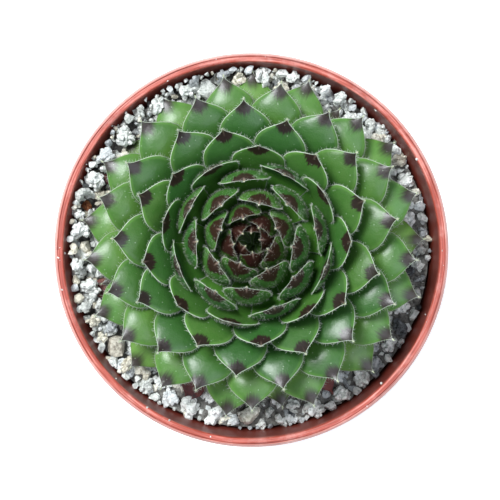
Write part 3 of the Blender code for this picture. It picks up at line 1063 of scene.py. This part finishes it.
def leaf_skin(name, rough, coat, shine):
    """Living leaf skin: waxy and glossy on the old leaves, dull with down on the young ones.

    Green flesh shows a little light through it, the edge is a thin clear line, and the tip is stained
    dark maroon by the sun.
    """
    look, shader = new_look(name, {
        "IOR": 1.42, "Specular IOR Level": shine, "Coat Weight": coat, "Coat Roughness": 0.24,
        "Subsurface Weight": 0.12, "Subsurface Radius": (0.5, 0.9, 0.25), "Subsurface Scale": 0.0008})
    spot = add(look, "ShaderNodeAttribute", attribute_name="spot")
    habit = add(look, "ShaderNodeAttribute", attribute_name="habit")
    where = add(look, "ShaderNodeSeparateXYZ", {"Vector": spot.outputs["Vector"]}).outputs
    how = add(look, "ShaderNodeSeparateXYZ", {"Vector": habit.outputs["Vector"]}).outputs
    place = add(look, "ShaderNodeTexCoord").outputs["Object"]
    green = leaf_green(look, place, where, how)
    maroon = add(look, "ShaderNodeValToRGB", {"Fac": how["X"]}, stops=[
        (0.0, "#331014"), (0.2, "#2e0f15"), (0.5, "#200e16"), (1.0, "#2b1021")])
    stained = add(look, "ShaderNodeMix", {
        "Factor": tip_stain(look, where, how), "A": green, "B": maroon.outputs["Color"]},
        data_type="RGBA")
    stained = add(look, "ShaderNodeMix", {
        "Factor": keel_streak(look, where, how), "A": stained.outputs["Result"], "B": linear("#b49a8c")},
        data_type="RGBA")
    # Single glands and dust, and painted glints of the skin's papillae, show as pale specks, about one to the
    # millimetre
    glands_and_glints = add(look, "ShaderNodeTexVoronoi", {"Vector": place, "Scale": 1250.0, "Randomness": 1.0})
    fleck_and_glint = add(look, "ShaderNodeMapRange", {
        "Value": glands_and_glints.outputs["Distance"], "From Min": 0.13, "From Max": 0.06,
        "To Min": 0.0, "To Max": 0.4})
    stained = add(look, "ShaderNodeMix", {
        "Factor": fleck_and_glint.outputs[0], "A": stained.outputs["Result"], "B": linear("#aebfa6")}, data_type="RGBA")
    # The thin clear edge, and the pale spine at the very tip
    lined = add(look, "ShaderNodeMix", {
        "Factor": edge_line(look, where, how), "A": stained.outputs["Result"], "B": linear("#c9d4c4")},
        data_type="RGBA")
    spine = add(look, "ShaderNodeMapRange", {
        "Value": where["X"], "From Min": 0.25, "From Max": -0.05, "To Min": 0.0, "To Max": 0.9},
        interpolation_type="SMOOTHSTEP")
    tipped = add(look, "ShaderNodeMix", {
        "Factor": spine.outputs[0], "A": lined.outputs["Result"], "B": linear("#d3dca6")}, data_type="RGBA")
    join_up(look, tipped.outputs["Result"], shader.inputs["Base Color"])
    skin_relief(look, shader, place, rough)
    return look


def hair_look(name, root_colour, tip_colour):
    """Plant hair: clear, hollow and colourless, so it reads as white where it catches the light."""
    look, shader = new_look(name, {"Roughness": 0.45, "IOR": 1.5})
    spot = add(look, "ShaderNodeAttribute", attribute_name="spot")
    run = add(look, "ShaderNodeSeparateXYZ", {"Vector": spot.outputs["Vector"]}).outputs["X"]
    colour = add(look, "ShaderNodeValToRGB", {"Fac": run}, stops=[
        (0.0, root_colour), (0.4, tip_colour), (1.0, tip_colour)])
    join_up(look, colour.outputs["Color"], shader.inputs["Base Color"])
    return look


def withered_skin():
    """Dead leaf: shrivelled and papery, red-brown going to straw."""
    look, shader = new_look("withered leaf skin", {"Roughness": 0.65})
    place = add(look, "ShaderNodeTexCoord").outputs["Object"]
    blotch = add(look, "ShaderNodeTexNoise", {
        "Vector": place, "Scale": 600.0, "Detail": 5.0, "Roughness": 0.65})
    colour = add(look, "ShaderNodeValToRGB", {"Fac": blotch.outputs["Fac"]}, stops=[
        (0.3, "#2a1211"), (0.5, "#5c2424"), (0.65, "#6e3428"), (0.8, "#96704e")])
    join_up(look, colour.outputs["Color"], shader.inputs["Base Color"])
    bump = add(look, "ShaderNodeBump", {
        "Height": blotch.outputs["Fac"], "Strength": 0.6, "Distance": 0.0002})
    join_up(look, bump.outputs[0], shader.inputs["Normal"])
    return look


def stem_bark():
    """The old stem: greenish brown, dull and scarred by fallen leaves."""
    look, shader = new_look("succulent stem bark", {"Roughness": 0.75})
    place = add(look, "ShaderNodeTexCoord").outputs["Object"]
    scars = add(look, "ShaderNodeTexVoronoi", {"Vector": place, "Scale": 900.0})
    colour = add(look, "ShaderNodeValToRGB", {"Fac": scars.outputs["Distance"]}, stops=[
        (0.0, "#2a2416"), (0.6, "#4a4a28"), (1.0, "#5c5b35")])
    join_up(look, colour.outputs["Color"], shader.inputs["Base Color"])
    bump = add(look, "ShaderNodeBump", {
        "Height": scars.outputs["Distance"], "Strength": 0.5, "Distance": 0.0002})
    join_up(look, bump.outputs[0], shader.inputs["Normal"])
    return look


def drag_lines_and_wall_shade(look, xyz, radius, on_lip):
    """The tone of the plastic: lines about 0.1 mm apart across the lip, and long round it; the walls are
    painted a darker tone than the lip as shade.
    """
    angle = add(look, "ShaderNodeMath", {0: xyz["Y"], 1: xyz["X"]}, operation="ARCTAN2")
    stretched = add(look, "ShaderNodeCombineXYZ", {"X": radius, "Y": angle.outputs[0], "Z": xyz["Z"]})
    sized = add(look, "ShaderNodeVectorMath", {0: stretched.outputs[0], 1: (4200.0, 5.0, 1400.0)},
                operation="MULTIPLY")
    streaks = add(look, "ShaderNodeTexNoise", {
        "Vector": sized.outputs[0], "Scale": 1.0, "Detail": 3.0, "Roughness": 0.6})
    tone = add(look, "ShaderNodeMath", {0: streaks.outputs["Fac"], 1: 0.5}, operation="SUBTRACT")
    # Painted shade: the walls take a darker tone than the lip
    wall_shade_tone = add(look, "ShaderNodeMapRange", {
        "Value": on_lip.outputs[0], "From Min": 0.09, "From Max": 1.0, "To Min": 0.24, "To Max": 0.48})
    tone = add(look, "ShaderNodeMath", {0: tone.outputs[0], 1: on_lip.outputs[0], 2: wall_shade_tone.outputs[0]},
               operation="MULTIPLY_ADD")
    return tone


def lime_dust_and_edge_highlight(look, place, radius, on_lip):
    """Pale lime dust in patches on the lip, and a pale band along its outer edge that is a painted highlight.
    """
    patches = add(look, "ShaderNodeTexNoise", {
        "Vector": place, "Scale": 260.0, "Detail": 6.0, "Roughness": 0.7})
    # Painted highlight: a pale band along the lip's outer edge
    outer_highlight = add(look, "ShaderNodeMapRange", {
        "Value": radius, "From Min": RIM_RADIUS - 0.0005, "From Max": RIM_RADIUS - 0.0002,
        "To Min": 0.0, "To Max": 0.55})
    dust = add(look, "ShaderNodeMapRange", {
        "Value": patches.outputs["Fac"], "From Min": 0.5, "From Max": 0.78, "To Min": 0.0, "To Max": 0.4})
    dust_and_highlight = add(look, "ShaderNodeMath", {0: dust.outputs[0], 1: outer_highlight.outputs[0]}, operation="ADD")
    dust_and_highlight = add(look, "ShaderNodeMath", {0: dust_and_highlight.outputs[0], 1: on_lip.outputs[0]}, operation="MULTIPLY")
    return dust_and_highlight


def inside_wall_shade(look, xyz, radius):
    """How much painted shade darkens the inside wall of the rim band, below the lip."""
    inside = RIM_RADIUS - RIM_WIDTH
    inward = add(look, "ShaderNodeMapRange", {
        "Value": radius, "From Min": inside + 0.00005, "From Max": inside - 0.00015,
        "To Min": 0.0, "To Max": 0.5})
    below = add(look, "ShaderNodeMapRange", {
        "Value": xyz["Z"], "From Min": POT_HEIGHT - 0.0002, "From Max": POT_HEIGHT - 0.0012,
        "To Min": 0.35, "To Max": 1.0})
    high = add(look, "ShaderNodeMath", {0: xyz["Z"], 1: POT_HEIGHT - RIM_HEIGHT}, operation="GREATER_THAN")
    shaded = add(look, "ShaderNodeMath", {0: inward.outputs[0], 1: below.outputs[0]}, operation="MULTIPLY")
    shaded = add(look, "ShaderNodeMath", {0: shaded.outputs[0], 1: high.outputs[0]}, operation="MULTIPLY")
    return shaded.outputs[0]


def moulded_plastic():
    """Injection-moulded polypropylene, terracotta coloured: satin, with drag lines round it and lime dust, a
    painted highlight along the lip's outer edge, and painted shade on the walls.
    """
    look, shader = new_look("moulded polypropylene", {"IOR": 1.49})
    place = add(look, "ShaderNodeTexCoord").outputs["Object"]
    xyz = add(look, "ShaderNodeSeparateXYZ", {"Vector": place}).outputs
    flat = add(look, "ShaderNodeCombineXYZ", {"X": xyz["X"], "Y": xyz["Y"]})
    radius = add(look, "ShaderNodeVectorMath", {0: flat.outputs[0]}, operation="LENGTH").outputs["Value"]
    # Worn and streaked on the lip, plain and even down the wall, which is painted darker than the lip as
    # shade
    on_lip = add(look, "ShaderNodeMapRange", {
        "Value": xyz["Z"], "From Min": POT_HEIGHT - 0.0012, "From Max": POT_HEIGHT - 0.0004,
        "To Min": 0.09, "To Max": 1.0})
    tone = drag_lines_and_wall_shade(look, xyz, radius, on_lip)
    colour = add(look, "ShaderNodeValToRGB", {"Fac": tone.outputs[0]}, stops=[
        (0.2, "#7e2c1c"), (0.35, "#8f3a2c"), (0.5, "#ab4c3c"), (0.66, "#cb7b6e")])
    # Lime dust, and the painted highlight along the lip's outer edge, paling the plastic
    dust = lime_dust_and_edge_highlight(look, place, radius, on_lip)
    plastic_colour = add(look, "ShaderNodeMix", {
        "Factor": dust.outputs[0], "A": colour.outputs["Color"], "B": linear("#e9c3bb")}, data_type="RGBA")
    # Painted shade on the inside wall below the lip
    plastic_colour = add(look, "ShaderNodeMix", {
        "Factor": inside_wall_shade(look, xyz, radius), "A": plastic_colour.outputs["Result"], "B": linear("#5a2a22")},
        data_type="RGBA")
    join_up(look, plastic_colour.outputs["Result"], shader.inputs["Base Color"])
    rough = add(look, "ShaderNodeMapRange", {
        "Value": dust.outputs[0], "From Min": 0.0, "From Max": 0.6, "To Min": 0.42, "To Max": 0.7})
    join_up(look, rough.outputs[0], shader.inputs["Roughness"])
    bump = add(look, "ShaderNodeBump", {
        "Height": tone.outputs[0], "Strength": 0.3, "Distance": 0.00008})
    join_up(look, bump.outputs[0], shader.inputs["Normal"])
    return look


def broken_stone(name, colours, speck):
    """Crushed pumice and granite: dull broken faces with fine pores and darker mineral specks."""
    look, shader = new_look(name, {})
    shade = add(look, "ShaderNodeAttribute", attribute_name="shade")
    place = add(look, "ShaderNodeTexCoord").outputs["Object"]
    # Mineral grains about 0.3 mm across
    grain = add(look, "ShaderNodeTexNoise", {
        "Vector": place, "Scale": 1900.0, "Detail": 6.0, "Roughness": 0.75})
    spread = add(look, "ShaderNodeMath", {0: shade.outputs["Fac"], 1: 0.4, 2: -0.2},
                 operation="MULTIPLY_ADD")
    tone = add(look, "ShaderNodeMath", {0: grain.outputs["Fac"], 1: spread.outputs[0]}, operation="ADD")
    # Crystals about 0.45 mm across, each a little lighter or darker and with its own gloss
    crystals = add(look, "ShaderNodeTexVoronoi", {"Vector": place, "Scale": 2300.0, "Randomness": 1.0})
    each = add(look, "ShaderNodeSeparateColor", {"Color": crystals.outputs["Color"]}).outputs
    own = add(look, "ShaderNodeMath", {0: each["Red"], 1: 0.32, 2: -0.16}, operation="MULTIPLY_ADD")
    tone = add(look, "ShaderNodeMath", {0: tone.outputs[0], 1: own.outputs[0]}, operation="ADD")
    colour = add(look, "ShaderNodeValToRGB", {"Fac": tone.outputs[0]}, stops=[
        (0.28, colours[0]), (0.5, colours[1]), (0.75, colours[2])])
    specks = add(look, "ShaderNodeTexVoronoi", {"Vector": place, "Scale": 1500.0, "Randomness": 1.0})
    dark = add(look, "ShaderNodeMapRange", {
        "Value": specks.outputs["Distance"], "From Min": 0.3, "From Max": 0.16, "To Min": 0.0, "To Max": 0.6},
        interpolation_type="SMOOTHSTEP")
    specked = add(look, "ShaderNodeMix", {
        "Factor": dark.outputs[0], "A": colour.outputs["Color"], "B": linear(speck)}, data_type="RGBA")
    join_up(look, specked.outputs["Result"], shader.inputs["Base Color"])
    pores = add(look, "ShaderNodeTexNoise", {
        "Vector": place, "Scale": 3600.0, "Detail": 4.0, "Roughness": 0.7})
    relief = add(look, "ShaderNodeMath", {0: each["Blue"], 1: 1.3, 2: pores.outputs["Fac"]},
                 operation="MULTIPLY_ADD")
    bump = add(look, "ShaderNodeBump", {
        "Height": relief.outputs[0], "Strength": 0.9, "Distance": 0.0003})
    join_up(look, bump.outputs[0], shader.inputs["Normal"])
    dull = add(look, "ShaderNodeMapRange", {
        "Value": each["Green"], "From Min": 0.0, "From Max": 0.5, "To Min": 0.3, "To Max": 0.85})
    join_up(look, dull.outputs[0], shader.inputs["Roughness"])
    return look


def damp_bed(name, dark, light, scale):
    """Fine damp particles packed together: dark, matt and crumbly."""
    look, shader = new_look(name, {"Roughness": 0.92})
    place = add(look, "ShaderNodeTexCoord").outputs["Object"]
    crumbs = add(look, "ShaderNodeTexVoronoi", {"Vector": place, "Scale": scale})
    dirt = add(look, "ShaderNodeTexNoise", {"Vector": place, "Scale": scale, "Detail": 5.0, "Roughness": 0.7})
    colour = add(look, "ShaderNodeValToRGB", {"Fac": dirt.outputs["Fac"]}, stops=[(0.35, dark), (0.7, light)])
    join_up(look, colour.outputs["Color"], shader.inputs["Base Color"])
    bump = add(look, "ShaderNodeBump", {
        "Height": crumbs.outputs["Distance"], "Strength": 0.9, "Distance": 0.0004})
    join_up(look, bump.outputs[0], shader.inputs["Normal"])
    return look


def repaint(node, look):
    thing = frame["nodes"][node]
    if not thing.material_slots:
        thing.data.materials.append(look)
    for slot in thing.material_slots:
        slot.material = look


# Studio ---------------------------------------------------------------------------------------------

def lay_floor():
    """A pale seamless floor: opal acrylic, softly lit from below."""
    deselect()
    bpy.ops.mesh.primitive_plane_add(size=4)
    floor = bpy.context.object
    floor.name = "floor"
    look, shader = new_look("opal acrylic light table", {
        "Roughness": 0.9, "Emission Color": (1, 1, 1, 1), "Emission Strength": 0.5})
    place = add(look, "ShaderNodeTexCoord").outputs["Object"]
    fibres = add(look, "ShaderNodeTexNoise", {"Vector": place, "Scale": 900.0, "Detail": 2.0})
    colour = add(look, "ShaderNodeValToRGB", {"Fac": fibres.outputs["Fac"]}, stops=[
        (0.0, "#f2f2f2"), (1.0, "#fbfbfb")])
    join_up(look, colour.outputs["Color"], shader.inputs["Base Color"])
    floor.data.materials.append(look)


def hang_light(name, place, size, power, colour):
    lamp = bpy.data.lights.new(name, "AREA")
    lamp.shape = "DISK"
    lamp.size = size
    lamp.energy = power
    lamp.color = linear(colour)[:3]
    thing = bpy.data.objects.new(name, lamp)
    bpy.context.scene.collection.objects.link(thing)
    thing.location = place
    aim = Vector((0, 0, POT_HEIGHT + 0.001)) - Vector(place)
    thing.rotation_euler = aim.to_track_quat("-Z", "Y").to_euler()


def set_studio():
    lay_floor()
    hang_light("window", (-0.26, 0.25, 0.64), 0.28, 7.7, "#f8fcff")
    hang_light("fill", (0.26, -0.17, 0.72), 0.6, 3.0, "#eaf3ff")
    world = bpy.data.worlds.new("studio")
    world.use_nodes = True
    world.node_tree.nodes["Background"].inputs["Color"].default_value = linear("#eef5ff")
    world.node_tree.nodes["Background"].inputs["Strength"].default_value = 0.26
    bpy.context.scene.world = world
    bpy.context.scene.view_settings.view_transform = "Standard"


def set_camera():
    """Looking straight down on the rosette from a hand's height above it."""
    camera = bpy.data.cameras.new("camera")
    camera.lens = 36 / (2 * tan(radians(CAMERA_ANGLE / 2)))
    camera.clip_start = 0.01
    camera.clip_end = 20
    thing = bpy.data.objects.new("camera", camera)
    bpy.context.scene.collection.objects.link(thing)
    thing.location = (-0.0002, 0, POT_HEIGHT + CAMERA_ABOVE_RIM)
    bpy.context.scene.camera = thing


def main():
    hairs = hair_look("leaf edge hair", "#9db088", "#f2f5ee")
    down = hair_look("leaf down", "#3f6034", "#93b384")
    dry_hairs = hair_look("dry leaf hair", "#b89a78", "#e8e0d0")
    looks = [
        [leaf_skin("downy young leaf skin", 0.50, 0.0, 0.26), hairs, down],
        [leaf_skin("waxy leaf skin", 0.37, 0.27, 0.34), hairs, down],
        [withered_skin(), dry_hairs],
    ]
    mould_pot(moulded_plastic())
    repaint("grit_bed", damp_bed("grit dust", "#3b3936", "#8a8882", 1500.0))
    repaint("soil", damp_bed("damp potting compost", "#160f0a", "#3a281b", 700.0))
    stones = {
        "pale": broken_stone("pale pumice", ("#bfc2bc", "#e8ebe4", "#fcfdfa"), "#979b98"),
        "grey": broken_stone("grey granite", ("#a0a4a6", "#cbcfcf", "#e8ecea"), "#63686b"),
        "dark": broken_stone("dark basalt", ("#25282b", "#4a4e50", "#74787a"), "#17191b"),
        "cream": broken_stone("cream limestone", ("#b7b19f", "#e0dbc7", "#f4f0e2"), "#978c7b"),
        "stone_pale": broken_stone("white pumice pebble", ("#abafaa", "#daded7", "#f4f6f1"), "#8b8f89"),
        "stone_beige": broken_stone("beige sandstone pebble", ("#9a9284", "#c6bfae", "#e0dccd"), "#786f60"),
        "stone_cream": broken_stone("cream pumice pebble", ("#a9a797", "#d4d2c2", "#ecebdf"), "#8c8878"),
        "stone_orange": broken_stone("fired clay granule", ("#7a4427", "#a8653f", "#c98a5e"), "#5a301c"),
    }
    spread_grit(stones)
    lay_stones(stones)
    grow_rosette(looks, stem_bark())
    set_studio()
    set_camera()
    bpy.context.view_layer.update()


main()
